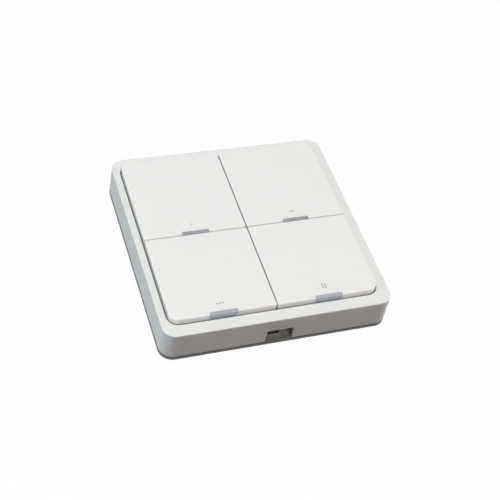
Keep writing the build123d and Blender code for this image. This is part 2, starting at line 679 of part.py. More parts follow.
# Battery holder: an open ring with lips that keep the cell in
with BuildPart() as battery_holder:
    with BuildSketch(Plane.XY.offset(HOLDER_BOTTOM)):
        Circle(HOLDER_OUTER)
        Circle(HOLDER_INNER, mode=Mode.SUBTRACT)
        with Locations((0, HOLDER_OUTER)):
            Rectangle(HOLDER_MOUTH, 2 * HOLDER_OUTER, mode=Mode.SUBTRACT)
    extrude(amount=UNDER_BOARD - HOLDER_BOTTOM)
    with BuildSketch(Plane.XY.offset(HOLDER_BOTTOM)):
        with PolarLocations(HOLDER_OUTER, 3, start_angle=180, angular_range=270):
            Rectangle(
                HOLDER_WALL + HOLDER_FIT + LIP_REACH, LIP_WIDTH,
                align=(Align.MAX, Align.CENTER),
            )
        Circle(HOLDER_OUTER, mode=Mode.INTERSECT)
    extrude(amount=LIP_THICK)
save(battery_holder, "battery_holder")

# Coin cell: a can with a smaller cap on the side of the board
with BuildPart() as coin_cell:
    with BuildSketch(Plane.XY.offset(CELL_BOTTOM)):
        Circle(CELL_RADIUS)
    extrude(amount=CELL_HEIGHT - CELL_STEP)
    fillet(coin_cell.edges().group_by(Axis.Z)[0], CELL_EDGE_ROUND)
    with BuildSketch(Plane.XY.offset(CELL_TOP - CELL_STEP)):
        Circle(CELL_RADIUS - CELL_CAP_INSET)
    extrude(amount=CELL_STEP)
save(coin_cell, "coin_cell")

# Battery contacts: a pad on the cell's cap and a leaf against its rim
with BuildPart() as battery_contact_minus:
    with BuildSketch(Plane.XY.offset(UNDER_BOARD - CONTACT_THICK)):
        Circle(CONTACT_PAD_RADIUS)
        with Locations((-CONTACT_SIDE, 0)):
            Rectangle(
                CONTACT_STRAP_WIDTH, HOLDER_OUTER + CONTACT_TAIL,
                align=(Align.CENTER, Align.MIN),
            )
    extrude(amount=CONTACT_THICK)
save(battery_contact_minus, "battery_contact_minus")

with BuildPart() as battery_contact_plus:
    leaf = CELL_RADIUS + SEAT_GAP
    low_x, high_x = CONTACT_SIDE - SPRING_WIDTH / 2, CONTACT_SIDE + SPRING_WIDTH / 2
    box_between((low_x, leaf, CELL_BOTTOM), (high_x, leaf + CONTACT_THICK, UNDER_BOARD))
    box_between(
        (low_x, leaf, UNDER_BOARD - CONTACT_THICK), (high_x, leaf + SPRING_FOOT, UNDER_BOARD)
    )
save(battery_contact_plus, "battery_contact_plus")

# Radio module: a small board with its shield can
with BuildPart() as radio_module:
    with BuildSketch(Plane.XY.offset(UNDER_BOARD)):
        with Locations(RADIO_SPOT):
            Rectangle(RADIO_LENGTH, RADIO_WIDTH)
    extrude(amount=-RADIO_BOARD)
    with BuildSketch(Plane.XY.offset(UNDER_BOARD - RADIO_BOARD)):
        with Locations(RADIO_SPOT):
            Rectangle(RADIO_LENGTH - 2 * SHIELD_BORDER, RADIO_WIDTH - 2 * SHIELD_BORDER)
    extrude(amount=-SHIELD_HEIGHT)
    fillet(radio_module.faces().sort_by(Axis.Z)[0].edges(), SHIELD_ROUND)
save(radio_module, "radio_module")

# Chip antenna at the upper edge of the board
with BuildPart() as chip_antenna:
    with BuildSketch(Plane.XY.offset(UNDER_BOARD)):
        with Locations(ANTENNA_SPOT):
            Rectangle(ANTENNA_LENGTH, ANTENNA_WIDTH)
    extrude(amount=-ANTENNA_HEIGHT)
save(chip_antenna, "chip_antenna")

# Small soldered parts: the controller and two columns of chips
with BuildPart() as board_components:
    with BuildSketch(Plane.XY.offset(UNDER_BOARD)):
        with Locations(CONTROLLER_SPOT):
            Rectangle(CONTROLLER_SIZE, CONTROLLER_SIZE)
    extrude(amount=-CONTROLLER_HEIGHT)
    with BuildSketch(Plane.XY.offset(UNDER_BOARD)):
        with Locations(CHIP_SPOT):
            with GridLocations(CHIP_PITCH, CHIP_PITCH, 2, CHIP_ROWS):
                Rectangle(CHIP_LENGTH, CHIP_WIDTH)
    extrude(amount=-CHIP_HEIGHT)
save(board_components, "board_components")
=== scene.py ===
"""Looks of the four-button light switch: finishes, the frame's crisp edge, small details and the stage.

Lengths are in metres in the part's own frame: the wall face lies on Z = 0, +Z points out of the wall
and +Y up the wall, so the release notch and the light windows face -Y.
"""
import math

import bpy
import numpy as np
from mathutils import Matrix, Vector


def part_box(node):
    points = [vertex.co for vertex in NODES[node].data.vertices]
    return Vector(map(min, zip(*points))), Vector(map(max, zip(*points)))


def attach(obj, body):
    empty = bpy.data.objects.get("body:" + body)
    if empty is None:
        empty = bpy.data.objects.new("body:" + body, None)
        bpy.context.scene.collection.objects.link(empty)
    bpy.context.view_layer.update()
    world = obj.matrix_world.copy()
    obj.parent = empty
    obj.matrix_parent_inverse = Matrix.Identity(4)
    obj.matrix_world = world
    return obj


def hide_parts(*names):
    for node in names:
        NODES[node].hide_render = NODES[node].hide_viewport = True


bl_info = {
    "name": "Four-button light switch",
    "version": (1, 0, 0),
    "blender": (4, 5, 0),
    "location": "View3D > Sidebar > Light switch",
    "description": "Finishes, frame, marks, solder and moulding traces of the light switch, and its stage",
    "category": "Object",
}

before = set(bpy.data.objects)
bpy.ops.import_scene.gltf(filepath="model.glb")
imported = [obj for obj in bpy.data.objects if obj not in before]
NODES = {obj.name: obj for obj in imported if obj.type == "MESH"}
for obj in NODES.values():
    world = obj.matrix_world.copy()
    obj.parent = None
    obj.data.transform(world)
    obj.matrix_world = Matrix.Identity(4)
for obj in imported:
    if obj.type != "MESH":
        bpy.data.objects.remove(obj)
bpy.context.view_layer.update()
MM = 0.001
BUTTONS = (1, 2, 3, 4)
# The camera's sensor in millimetres, as Blender keeps it.
SENSOR_WIDTH = 36.0
# Doubled points agree to this many decimals of a metre.
MERGE_DIGITS = 7
# A top face's own tone ends at this share of the depth at which the next tone begins.
TOP_SHARE = 1 / 5


def low(node):
    """Lowest corner of a solid, as an array in metres."""
    return np.array(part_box(node)[0])


def high(node):
    """Highest corner of a solid, as an array in metres."""
    return np.array(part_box(node)[1])


# Sizes and colours that a user may change


def length(name, text, default_mm, least_mm=0.0):
    """Property that holds a size, given in millimetres and kept in metres."""
    return bpy.props.FloatProperty(
        name=name, description=text, default=default_mm * MM, min=least_mm * MM, unit="LENGTH", precision=5
    )


def colour(name, text, default):
    """Property that holds a colour, as linear red, green and blue."""
    return bpy.props.FloatVectorProperty(
        name=name, description=text, default=default, size=3, min=0.0, max=1.0, subtype="COLOR"
    )


def position(name, text, default_mm):
    """Property that holds a place, which may be negative, given in millimetres and kept in metres."""
    return bpy.props.FloatProperty(
        name=name, description=text, default=default_mm * MM, unit="LENGTH", precision=5
    )


def share(name, text, default):
    """Property that holds a share from 0 to 1."""
    return bpy.props.FloatProperty(
        name=name, description=text, default=default, min=0.0, max=1.0, subtype="FACTOR"
    )

# Registers everything and takes each step in order.

def plain(name, text, default):
    """Property that holds a plain number."""
    return bpy.props.FloatProperty(name=name, description=text, default=default)


class SwitchFinish(bpy.types.PropertyGroup):
    """Colours, painted light and shade, and surface grain of the moulded, metal and board pieces."""

    white: colour("Frame plastic", "White plastic of the frame", (0.815, 0.83, 0.805))
    button: colour("Button plastic", "White plastic of the buttons", (0.85, 0.86, 0.835))
    scatter: length("Scatter length", "How far light travels in the white plastic", 1.0, 0.01)
    scatter_tint: colour("Scatter tint", "That length's share for red, green and blue", (1.0, 0.95, 0.85))
    chassis: colour("Chassis plastic", "Carrier and plungers inside", (0.30, 0.30, 0.285))
    base: colour("Base plastic", "Wall plate and its release tab", (0.185, 0.185, 0.168))
    window: colour("Light window", "Top face of the milky light guides", (0.40, 0.43, 0.455))
    # The windows' front keeps the guide's own milky blue, with painted light just below the top face and
    # painted shade towards the foot.
    window_edge_painted_light: colour("Light window, edge", "Their front just below the top face", (0.60, 0.645, 0.72))
    window_foot_painted_shade: colour("Light window, foot", "Their foot, darkened by the inside", (0.44, 0.49, 0.575))
    # Painted shade: the upper row's windows are a darker copy of the lower row's.
    back_window_painted_shade: share("Back windows", "Tone of the upper row's windows, as a share of the lower row's", 0.77)
    window_start: length("Window start", "From the top face down to where the front is brightest", 0.2)
    window_skin: length("Window skin", "Depth in which the top face's tone goes over into the front's", 0.1)
    window_fall: length("Window fall", "From the bright edge down to the foot", 2.0, 0.1)
    paint: colour("Mark paint", "Grey fill of the button marks", (0.075, 0.075, 0.072))
    resist: colour("Solder resist", "Lacquer of the circuit board", (0.012, 0.13, 0.06))
    copper: colour("Tracks", "Copper under the lacquer", (0.05, 0.26, 0.11))
    steel: colour("Screw steel", "Plated screws", (0.55, 0.55, 0.54))
    can: colour("Cell can", "Nickel plated can of the coin cell", (0.66, 0.66, 0.65))
    spring: colour("Contact strip", "Plated spring bronze", (0.62, 0.56, 0.44))
    tin: colour("Tinned shield", "Shield can of the radio", (0.58, 0.59, 0.60))
    solder: colour("Solder", "Solder fillets and pins", (0.60, 0.60, 0.60))
    ceramic: colour("Ceramic", "Chip antenna", (0.55, 0.53, 0.47))
    black: colour("Black moulding", "Holder, switch bodies and chip packages", (0.022, 0.022, 0.024))
    lamp: colour("Lamp lens", "Epoxy lens of the lamps", (0.75, 0.71, 0.42))
    grain: length("Moulding grain", "Size of one grain of the eroded mould surface", 0.16, 0.01)
    grain_depth: length("Grain depth", "Height of the grain", 0.006, 0.0)
    # Painted shade: the buttons' sides in the joints are darkened to this share at depth.
    joint_painted_shade: share("Joint tone", "Tone deep in the joints, as a share of the buttons' own", 0.74)
    joint_start: length("Joint start", "From the top face down to where the joints begin to darken", 0.25)
    joint_depth: length("Joint depth", "From the top face down to where they are darkest", 1.5)
    # Painted light: the lower row's front faces are lightened by this share over the buttons' own colour.
    face_painted_light: plain("Face tone", "Tone of the lower row's front faces, as a share of the buttons' own", 1.16)
    face_reach: length("Face reach", "How far the front faces run round the outer corners", 3.5)
    face_foot: length("Face foot", "From the top face down to where the front faces are darkest", 2.4)
    # Painted shade: the front faces are darkened to this share at their foot.
    foot_painted_shade: share("Foot tone", "Tone of the front faces' foot, as a share of the buttons' own", 0.6)
    face_fall: length("Face fall", "From the top face down to where the front faces begin to darken", 1.95)
    handling: share("Handling polish", "How far fingers have smoothed the pressed half of each button", 0.35)


class SwitchFrame(bpy.types.PropertyGroup):
    """Outer edge and draft of the frame."""

    corner: length("Corner", "Radius of the frame's four corners, seen from above", 4.8)
    solid_round: length("Solid's edge", "Radius of the outer edge that the frame's solid has", 0.8, 0.01)
    crisp_round: length("Crisp edge", "Radius of the outer edge that the real frame has", 0.2, 0.01)
    wall_lean: length("Wall lean", "How far the walls lean in at their top", 0.25)
    heel_height: length("Heel height", "From the frame's lower edge up to where its walls begin to lean", 0.5)


class SwitchMarks(bpy.types.PropertyGroup):
    """Places of the small marks and fitted details."""

    dot_radius: length("Dot radius", "Paint fill in one mark", 0.24, 0.05)
    dot_pitch: length("Dot pitch", "From one mark to the next", 1.0, 0.1)
    dot_from_edge: length("Dots from edge", "From the button's lower edge to the first row", 4.2)
    dot_shift: length("Dot shift", "How far the marks stand left of the button's middle", 0.33)
    dot_depth: length("Dot depth", "Depth of the recess that holds the paint", 0.12)
    pin_pitch: length("Pin pitch", "From pin to pin of the controller", 0.8, 0.1)
    pin_width: length("Pin width", "Width of one controller pin", 0.35, 0.05)
    pin_count: bpy.props.IntProperty(
        name="Pins per side", description="Controller pins on each side", default=8, min=1
    )
    solder_radius: length("Solder radius", "Foot of one solder cone", 0.75, 0.1)
    dot_fill: length("Dot fill", "How much higher the paint stands at the wall of its recess", 0.03)
    dot_seat: length("Dot seat", "Paint under the middle of the fill", 0.004)
    solder_height: length("Solder height", "Height of one solder cone", 0.55)
    minus_in: length("Minus joint in", "From the left edge of the minus contact to its solder joint", 1.4)
    minus_down: length("Minus joint down", "From its upper edge to the same joint", 0.9)
    plus_in: length("Plus joint in", "From the right edge of the plus contact to its solder joint", 2.0)
    plus_down: length("Plus joint down", "From its upper edge to the same joint", 0.8)
    fillet_pitch: length("Fillet pitch", "From pad to pad along the radio's long sides", 1.5, 0.5)
    chip_side: position("Chip side", "The controller chip lies left of this place on the board", -10.0)
    pin_reach: length("Pin reach", "Length of a controller pin, seen from above", 1.15)
    pin_drop: length("Pin drop", "From the board down to where a pin leaves the chip", 0.59)
    pin_thickness: length("Pin thickness", "Thickness of one controller pin", 0.12)
    ejector_radius: length("Ejector radius", "Round traces of the mould's ejector pins", 1.6, 0.2)
    ejector_height: length("Ejector height", "How proud of the floor each trace stands", 0.04)
    ejector_near: length("Ejector near", "Traces' nearer places from the middle of the plate", 15.5)
    ejector_far: length("Ejector far", "Traces' farther places from the middle of the plate", 28.5)
    plate_floor: length("Plate floor", "Height of the wall plate's floor above the wall", 1.4)
    sign_offset: length("Sign offset", "From the cell's middle to the middle of its plus sign", 5.2)
    sign_length: length("Sign length", "Half the length of one bar of the plus sign", 2.2)
    sign_width: length("Sign width", "Half the width of one bar of the plus sign", 0.45)
    sign_height: length("Sign height", "How far the plus sign stands out", 0.05)


class SwitchStage(bpy.types.PropertyGroup):
    """Floor, lamps and the camera of the photograph."""

    floor_size: length("Floor size", "Side of the pale floor", 6000.0)
    floor_tone: share("Floor tone", "How pale the floor is to the light that falls on it", 0.08)
    shadow_share: share("Shadow share", "How much of the object's shadow the white floor keeps", 0.07)
    lamp_reach: length("Lamp reach", "From the object to each lamp", 800.0, 100.0)
    lamp_side: length("Lamp side", "Side of each square soft lamp", 450.0, 10.0)
    high_angle: plain("High angle", "How far the high lamps stand above the floor, in degrees", 66.8)
    low_angle: plain("Low angle", "How far the low lamps stand above the floor, in degrees", 20.6)
    front_lamp: plain("High front lamp", "Power of the high lamp at the front, in watts", 3.32)
    front_tint: colour("High front lamp tint", "Warm cast of the high lamp at the front", (1.0, 0.86, 0.853))
    over_lamp: plain("High left lamp", "Power of the high lamp at the left, in watts", 2.07)
    over_tint: colour("High left lamp tint", "Cast of the high lamp at the left", (0.872, 1.0, 0.928))
    left_lamp: plain("Low left lamp", "Power of the low lamp at the left, in watts", 2.66)
    left_tint: colour("Low left lamp tint", "Cool cast of the low lamp at the left", (0.806, 0.87, 1.0))
    right_lamp: plain("Low right lamp", "Power of the low lamp at the right, in watts", 2.91)
    right_tint: colour("Low right lamp tint", "Cool cast of the low lamp at the right", (0.867, 0.924, 1.0))
    back_lamp: plain("Low back lamp", "Power of the low lamp at the back, in watts", 1.15)
    back_tint: colour("Low back lamp tint", "Cast of the low lamp at the back", (0.95, 1.0, 0.985))
    camera_x: position("Camera X", "Across", -113.293)
    camera_y: position("Camera Y", "Along the wall", -229.242)
    camera_z: position("Camera Z", "Out of the wall", 286.516)
    turn_x: plain("Camera tilt", "Rotation about X, in degrees", 41.2538)
    turn_y: plain("Camera roll", "Rotation about Y, in degrees", -8.3938)
    turn_z: plain("Camera heading", "Rotation about Z, in degrees", -17.3897)
    lens: plain("Lens", "Focal length in millimetres on a 36 mm wide sensor", 78.105)


def finish_of():
    """The scene's colours and grain."""
    return bpy.context.scene.switch_finish


def frame_of():
    """The scene's sizes of the frame."""
    return bpy.context.scene.switch_frame


def marks_of():
    """The scene's sizes of the marks and fitted details."""
    return bpy.context.scene.switch_marks


def stage_of():
    """The scene's floor, lamps and camera."""
    return bpy.context.scene.switch_stage


# Surfaces


def grid_faces(rows, columns, closed=False):
    """Quads of a grid of rows x columns points; a closed grid joins its last column to its first."""
    r = np.arange(rows - 1)[:, None]
    c = np.arange(columns if closed else columns - 1)[None, :]
    r1, c1 = r + 1, (c + 1) % columns
    corners = (r * columns + c, r * columns + c1, r1 * columns + c1, r1 * columns + c)
    return np.stack([np.broadcast_to(k, (r.size, c.size)) for k in corners], -1).reshape(-1, 4)


def join(parts):
    """One point array and one face array from several (points, faces) pairs."""
    offsets = np.cumsum([0] + [len(points) for points, _ in parts[:-1]])
    points = np.concatenate([points for points, _ in parts])
    faces = np.concatenate([faces + offset for (_, faces), offset in zip(parts, offsets)])
    return points, faces


def build(name, parts, material, body, smooth=True):
    """One mesh object from (points, faces) pairs, given its finish and the body that it rides on."""
    points, faces = join(parts)
    mesh = bpy.data.meshes.new(name)
    mesh.vertices.add(len(points))
    mesh.vertices.foreach_set("co", points.astype(np.float32).ravel())
    mesh.loops.add(faces.size)
    mesh.loops.foreach_set("vertex_index", faces.astype(np.int32).ravel())
    mesh.polygons.add(len(faces))
    mesh.polygons.foreach_set("loop_start", np.arange(0, faces.size, faces.shape[1], dtype=np.int32))
    mesh.polygons.foreach_set("use_smooth", np.full(len(faces), smooth))
    mesh.update(calc_edges=True)
    mesh.validate()
    mesh.materials.append(material)
    piece = bpy.data.objects.new(name, mesh)
    bpy.context.scene.collection.objects.link(piece)
    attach(piece, body)
    return piece


def merged_solid(node):
    """Points, triangles and corner normals of a solid, its doubled points merged into one each."""
    mesh = NODES[node].data
    points = np.empty(3 * len(mesh.vertices), np.float32)
    mesh.vertices.foreach_get("co", points)
    corners = np.empty(len(mesh.loops), np.int32)
    mesh.loops.foreach_get("vertex_index", corners)
    normals = np.empty(3 * len(mesh.loops), np.float32)
    mesh.corner_normals.foreach_get("vector", normals)
    if len(mesh.loops) != 3 * len(mesh.polygons):
        raise RuntimeError(f"The solid {node} isn't made of triangles alone")
    points, merged = np.unique(points.reshape(-1, 3).round(MERGE_DIGITS), axis=0, return_inverse=True)
    faces = merged.ravel()[corners].reshape(-1, 3)
    whole = (faces != np.roll(faces, 1, axis=1)).all(axis=1)
    return points.astype(float), faces[whole], normals.reshape(-1, 3, 3)[whole]


def lathe(profile, centre, around, up=1.0):
    """Surface of revolution: point (r, z) of the profile goes to (r cos a, r sin a, z) about the centre.

    around is the number of points in one turn. up is 1 for a piece that rises along +Z and -1 for one
    that hangs down from a face.
    """
    profile = np.asarray(profile, float)
    angle = np.linspace(0, 2 * math.pi, around, endpoint=False) * up
    x = profile[:, 0, None] * np.cos(angle)
    y = profile[:, 0, None] * np.sin(angle)
    z = np.broadcast_to(up * profile[:, 1, None], x.shape)
    points = np.stack([x, y, z], -1).reshape(-1, 3) + np.asarray(centre)
    return points, grid_faces(len(profile), around, closed=True)[:, ::-1]


def strip_along(path, width, thickness, centre, turn):
    """Flat strip bent along a path, closed at both ends.

    Point (s, z) of the path is moved by half the thickness along the path's normal to each side and
    carried half the width to each side. Then the strip is turned about Z and placed.
    """
    path = np.asarray(path, float)
    run = np.gradient(path, axis=0)
    run /= np.linalg.norm(run, axis=1, keepdims=True)
    normal = np.stack([-run[:, 1], run[:, 0]], -1) * thickness / 2
    half = width / 2
    ring = [(path + normal, -half), (path + normal, half), (path - normal, half), (path - normal, -half)]
    points = np.stack([np.c_[p[:, 0], np.full(len(p), side), p[:, 1]] for p, side in ring], 1)
    first, last = (np.repeat(points[end].mean(0)[None], 4, 0)[None] for end in (0, -1))
    points = np.concatenate([first, points, last])
    c, s = math.cos(turn), math.sin(turn)
    turned = points @ np.array([[c, s, 0], [-s, c, 0], [0, 0, 1]])
    return turned.reshape(-1, 3) + np.asarray(centre), grid_faces(len(points), 4, closed=True)


# Shared effects


class Tree:
    """Short way to place and join nodes in one tree."""

    # Width and height of one place in the node editor, and how many places stand below each other
    step, drop, rows = 180, 160, 4

    def __init__(self, tree):
        self.tree = tree
        self.count = 0

    def add(self, kind, **values):
        """New node with its settings, at the next free place of the node editor."""
        node = self.tree.nodes.new(kind)
        self.count += 1
        node.location = (self.count * self.step, -self.drop * (self.count % self.rows))
        for key, value in values.items():
            setattr(node, key, value)
        return node

    def link(self, source, target):
        """Joins an output to an input."""
        self.tree.links.new(source, target)

    def math(self, operation, first, second=None, third=None):
        """Sum, product or the like of sockets and numbers."""
        node = self.add("ShaderNodeMath", operation=operation)
        for socket, value in zip(node.inputs, (first, second, third)):
            self.put(socket, value)
        return node.outputs[0]

    def put(self, socket, value):
        """Gives a socket a number or joins another socket to it."""
        if value is None:
            return
        if isinstance(value, bpy.types.NodeSocket):
            self.link(value, socket)
        else:
            socket.default_value = value

    def spread(self, value, low_in, high_in, low_out=0.0, high_out=1.0):
        """Straight-line change of one range into another, held at both ends."""
        node = self.add("ShaderNodeMapRange", clamp=True)
        for socket, number in zip(node.inputs, (value, low_in, high_in, low_out, high_out)):
            self.put(socket, number)
        return node.outputs[0]

    def noise(self, place, scale, detail=2.0, roughness=0.5):
        """Noise from 0 to 1 with scale waves per metre."""
        node = self.add("ShaderNodeTexNoise", noise_dimensions="3D")
        self.put(node.inputs["Vector"], place)
        self.put(node.inputs["Scale"], scale)
        node.inputs["Detail"].default_value = detail
        node.inputs["Roughness"].default_value = roughness
        return node.outputs["Fac"]

    def swing(self, noise):
        """Noise less its mean of a half, so that it swings about nought."""
        return self.math("SUBTRACT", noise, 0.5)

    def scaled(self, tint, factor):
        """Colour times a number or a socket."""
        node = self.add("ShaderNodeVectorMath", operation="SCALE")
        self.put(node.inputs[0], tint)
        self.put(node.inputs["Scale"], factor)
        return node.outputs[0]

    def place(self):
        """Place on the object, in metres."""
        return self.add("ShaderNodeTexCoord").outputs["Object"]

    def split_place(self):
        """That place's X, Y and Z."""
        node = self.add("ShaderNodeSeparateXYZ")
        self.link(self.place(), node.inputs[0])
        return node.outputs

    def mix(self, share_in, first, second):
        """Blend of two colours: the first at a share of 0, the second at 1."""
        node = self.add("ShaderNodeMix", data_type="RGBA")
        self.put(node.inputs[0], share_in)
        for socket, value in ((node.inputs[6], first), (node.inputs[7], second)):
            if value is not None and not isinstance(value, bpy.types.NodeSocket):
                value = (*value, 1.0)
            self.put(socket, value)
        return node.outputs[2]


def new_group(name, inputs, outputs):
    """Empty shader node group with named sockets; inputs are (name, kind, default)."""
    group = bpy.data.node_groups.new(name, "ShaderNodeTree")
    for label, kind, default in inputs:
        socket = group.interface.new_socket(name=label, in_out="INPUT", socket_type=kind)
        socket.default_value = default
    for label, kind in outputs:
        group.interface.new_socket(name=label, in_out="OUTPUT", socket_type=kind)
    tree = Tree(group)
    return group, tree, tree.add("NodeGroupInput").outputs, tree.add("NodeGroupOutput").inputs


def moulded_grain():
    """Eroded-mould surface: fine grain, slow drift of tone and gloss as the melt flowed.

    Height is fine noise at one over the grain size plus a weaker and finer one. Tone and roughness
    drift with noise some centimetres across, and specks about a millimetre across add to the tone.
    """
    finer_grain, finer_share = 2.7, 0.35
    flow_waves, speck_waves, speck_share = 28.0, 900.0, 0.6
    group, tree, given, out = new_group(
        "Moulded grain",
        [
            ("Colour", "NodeSocketColor", (0.8, 0.8, 0.8, 1)),
            ("Grain per metre", "NodeSocketFloat", 6000.0),
            ("Tone drift", "NodeSocketFloat", 0.02),
            ("Roughness", "NodeSocketFloat", 0.5),
            ("Roughness drift", "NodeSocketFloat", 0.06),
        ],
        [("Colour", "NodeSocketColor"), ("Roughness", "NodeSocketFloat"), ("Height", "NodeSocketFloat")],
    )
    place = tree.place()
    fine = tree.noise(place, given["Grain per metre"], detail=1.0)
    finer = tree.noise(place, tree.math("MULTIPLY", given["Grain per metre"], finer_grain), detail=0.0)
    flow = tree.noise(place, flow_waves)
    speck = tree.noise(place, speck_waves)
    height = tree.math("MULTIPLY_ADD", finer, finer_share, fine)
    swing = tree.swing(flow)
    drift = tree.math("MULTIPLY", swing, given["Tone drift"])
    speck_drift = tree.math("MULTIPLY", given["Tone drift"], speck_share)
    specks = tree.math("MULTIPLY", tree.swing(speck), speck_drift)
    factor = tree.math("ADD", tree.math("ADD", drift, specks), 1.0)
    tree.link(tree.scaled(given["Colour"], factor), out["Colour"])
    rough = tree.math("MULTIPLY_ADD", swing, given["Roughness drift"], given["Roughness"])
    tree.link(rough, out["Roughness"])
    tree.link(height, out["Height"])
    return group


def metal_grain():
    """Rolled or plated metal: fine lines along X and cloudy tarnish.

    The lines are noise stretched forty times along X. Tarnish is slow noise that darkens and dulls.
    """
    line_squeeze, line_gloss = (1 / 40, 1.0, 1.0), 0.12
    cloud_waves, cloud_start, cloud_full, dulling = 260.0, 0.42, 0.68, 1.5
    group, tree, given, out = new_group(
        "Metal grain",
        [
            ("Colour", "NodeSocketColor", (0.6, 0.6, 0.6, 1)),
            ("Lines per metre", "NodeSocketFloat", 9000.0),
            ("Tarnish", "NodeSocketFloat", 0.12),
            ("Roughness", "NodeSocketFloat", 0.3),
        ],
        [("Colour", "NodeSocketColor"), ("Roughness", "NodeSocketFloat"), ("Height", "NodeSocketFloat")],
    )
    place = tree.place()
    stretch = tree.add("ShaderNodeVectorMath", operation="MULTIPLY")
    tree.put(stretch.inputs[0], place)
    stretch.inputs[1].default_value = line_squeeze
    lines = tree.noise(stretch.outputs[0], given["Lines per metre"], detail=1.0)
    cloud = tree.noise(place, cloud_waves, detail=3.0, roughness=0.6)
    mask = tree.spread(cloud, cloud_start, cloud_full)
    dark = tree.math("SUBTRACT", 1.0, tree.math("MULTIPLY", mask, given["Tarnish"]))
    tree.link(tree.scaled(given["Colour"], dark), out["Colour"])
    gain = tree.math("MULTIPLY", given["Tarnish"], dulling)
    dull = tree.math("MULTIPLY_ADD", mask, gain, given["Roughness"])
    tree.link(tree.math("MULTIPLY_ADD", tree.swing(lines), line_gloss, dull), out["Roughness"])
    tree.link(lines, out["Height"])
    return group


# Finishes


def start_material(name):
    """Material with its Principled shader, ready to be wired."""
    material = bpy.data.materials.new(name)
    material.use_nodes = True
    tree = Tree(material.node_tree)
    return material, tree, material.node_tree.nodes["Principled BSDF"]


def add_relief(tree, shader, height, depth):
    """Bump of the given depth in metres on the shader's normal."""
    bump = tree.add("ShaderNodeBump")
    bump.inputs["Strength"].default_value = 1.0
    bump.inputs["Distance"].default_value = depth
    tree.link(height, bump.inputs["Height"])
    tree.link(bump.outputs[0], shader.inputs["Normal"])


def paint_button_shade_and_light(tree, tint):
    """Paints shade and light into the buttons' colour by depth below the top face.

    The sides in the joints get painted shade that deepens with their depth. The lower row's front faces get
    painted light, a tone above the buttons' own that begins at the edge of the top face, and painted shade
    near their foot. Round the outer corners the one goes over into the other.
    """
    finish = finish_of()
    top, front = high("button_3")[2], low("button_3")[1]
    start, top_end = top - finish.joint_start, top - finish.joint_start * TOP_SHARE
    reach, bend = front + finish.face_reach, front + finish.face_reach / 2
    foot, fall = top - finish.face_foot, top - finish.face_fall
    split = tree.split_place()
    # Painted shade on the sides in the joints, deepening with depth below the top face.
    side = tree.spread(split["Z"], top - finish.joint_depth, start, finish.joint_painted_shade, 1.0)
    # Painted light on the lower row's front faces, falling to painted shade at their foot.
    lower = tree.spread(split["Z"], foot, fall, finish.foot_painted_shade, finish.face_painted_light)
    edge = tree.spread(split["Z"], start, top_end)
    face = tree.spread(edge, 0.0, 1.0, lower, 1.0)
    behind = tree.spread(split["Y"], bend, reach)
    return tree.scaled(tint, tree.spread(behind, 0.0, 1.0, face, side))


def let_light_in(shader):
    """Scatters light some way under the surface, as white or milky plastic does."""
    finish = finish_of()
    shader.inputs["Subsurface Weight"].default_value = 1.0
    shader.inputs["Subsurface Radius"].default_value = tuple(finish.scatter_tint)
    shader.inputs["Subsurface Scale"].default_value = finish.scatter


def plastic(name, tint, rough, grain_share=1.0, drift=0.02, coat=0.0, polish=None, milky=False, joints=False):
    """Moulded plastic.

    polish is a stretch (low y, high y) that handling has smoothed in patches, most at its low end.
    milky lets light in. joints paints shade into the buttons' sides in the joints, and light and shade onto
    the lower row's front faces.
    """
    patch_waves, patch_start, patch_full, most_worn = 120.0, 0.35, 0.65, 0.22
    coat_rough = 0.12
    finish = finish_of()
    material, tree, shader = start_material(name)
    effect = tree.add("ShaderNodeGroup", node_tree=bpy.data.node_groups["Moulded grain"])
    effect.inputs["Colour"].default_value = (*tint, 1.0)
    effect.inputs["Grain per metre"].default_value = grain_share / finish.grain
    effect.inputs["Tone drift"].default_value = drift
    effect.inputs["Roughness"].default_value = rough
    tint_out = effect.outputs["Colour"]
    if joints:
        tint_out = paint_button_shade_and_light(tree, tint_out)
    tree.link(tint_out, shader.inputs["Base Color"])
    roughness = effect.outputs["Roughness"]
    if polish:
        near = tree.spread(tree.split_place()["Y"], polish[0], polish[1], 1.0, 0.0)
        patchy = tree.spread(tree.noise(tree.place(), patch_waves, detail=3.0), patch_start, patch_full)
        worn = tree.math("MULTIPLY", tree.math("MULTIPLY", near, patchy), most_worn * finish.handling)
        roughness = tree.math("SUBTRACT", roughness, worn)
    tree.link(roughness, shader.inputs["Roughness"])
    add_relief(tree, shader, effect.outputs["Height"], finish.grain_depth)
    shader.inputs["Coat Weight"].default_value = coat
    shader.inputs["Coat Roughness"].default_value = coat_rough
    if milky:
        let_light_in(shader)
    return material


def metal(name, tint, rough, tarnish, lines):
    """Rolled, drawn or plated metal with a share of tarnish and some lines per metre."""
    line_depth = 0.000002
    material, tree, shader = start_material(name)
    effect = tree.add("ShaderNodeGroup", node_tree=bpy.data.node_groups["Metal grain"])
    effect.inputs["Colour"].default_value = (*tint, 1.0)
    effect.inputs["Lines per metre"].default_value = lines
    effect.inputs["Tarnish"].default_value = tarnish
    effect.inputs["Roughness"].default_value = rough
    tree.link(effect.outputs["Colour"], shader.inputs["Base Color"])
    tree.link(effect.outputs["Roughness"], shader.inputs["Roughness"])
    shader.inputs["Metallic"].default_value = 1.0
    add_relief(tree, shader, effect.outputs["Height"], line_depth)
    return material


